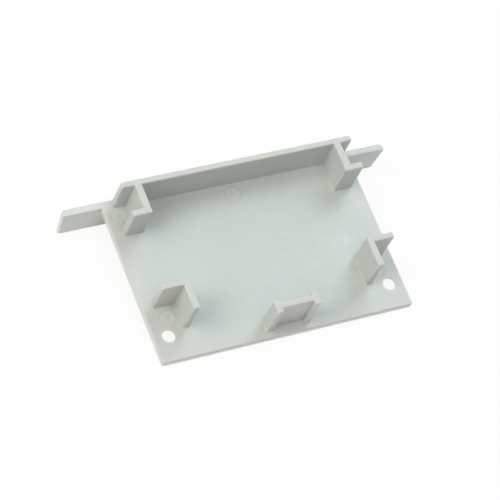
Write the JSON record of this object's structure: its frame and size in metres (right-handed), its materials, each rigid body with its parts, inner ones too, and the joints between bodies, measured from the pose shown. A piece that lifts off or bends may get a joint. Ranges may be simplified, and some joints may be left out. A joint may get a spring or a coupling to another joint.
{
  "type": "profile end cap",
  "caption": "Flat end cap for a framing profile: a plate with a longer edge strip, two countersunk screw holes and clips that slide into the profile.",
  "frame": {"origin": "midway between the axes of the two screw holes, on the inner face of the plate", "axes": "+X along the length, +Y from the screw holes towards the edge strip, +Z out of the inner face, the way the clips stand"},
  "size_m": [0.0914, 0.0459, 0.0196],
  "materials": {
    "end_cap": "pale cool grey moulded plastic, fine satin texture"
  },
  "bodies": {
    "root": {"end_cap": "end_cap"}
  },
  "joints": []
}
